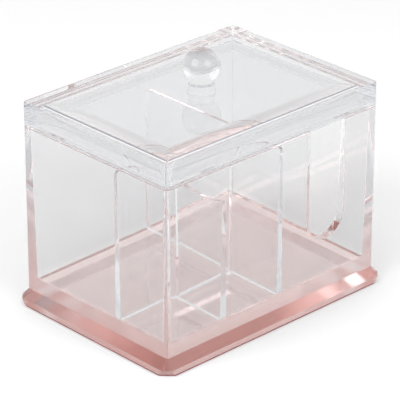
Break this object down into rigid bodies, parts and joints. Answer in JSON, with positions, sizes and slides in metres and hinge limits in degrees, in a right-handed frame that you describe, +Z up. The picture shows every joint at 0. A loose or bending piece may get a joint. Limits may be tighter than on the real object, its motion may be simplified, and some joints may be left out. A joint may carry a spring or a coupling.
{
  "type": "cotton swab holder",
  "caption": "Clear box on a bevelled rose-gold base, with a lift-off ball-knob lid, upright dividers that part it into pockets for swabs, balls and pads, and a finger notch in the front wall.",
  "frame": {"origin": "under the middle of the base, on the surface that the holder stands on", "axes": "+X along the long side towards the pad pocket, +Y from the notched front wall to the back wall, +Z up"},
  "size_m": [0.1588, 0.1164, 0.1404],
  "materials": {
    "tub_clear": "clear polished moulding",
    "divider_clear": "clear polished moulding",
    "plinth_clear": "clear polished moulding that shows the rose-gold plate under it",
    "lid_clear": "clear polished moulding",
    "knob_clear": "clear polished solid ball",
    "rose_gold": "satin rose gold, darker red on its cut edge"
  },
  "bodies": {
    "box": {"base_plate": "rose_gold", "plinth": "plinth_clear", "tub": "tub_clear", "divider_cross": "divider_clear", "divider_long": "divider_clear", "divider_short": "divider_clear"},
    "lid": {"lid": "lid_clear", "knob": "knob_clear"}
  },
  "joints": [
    {"name": "lid_lift", "type": "slide", "parent": "box", "child": "lid", "axis": [0, 0, 1], "range_m": [0, 0.1]}
  ]
}
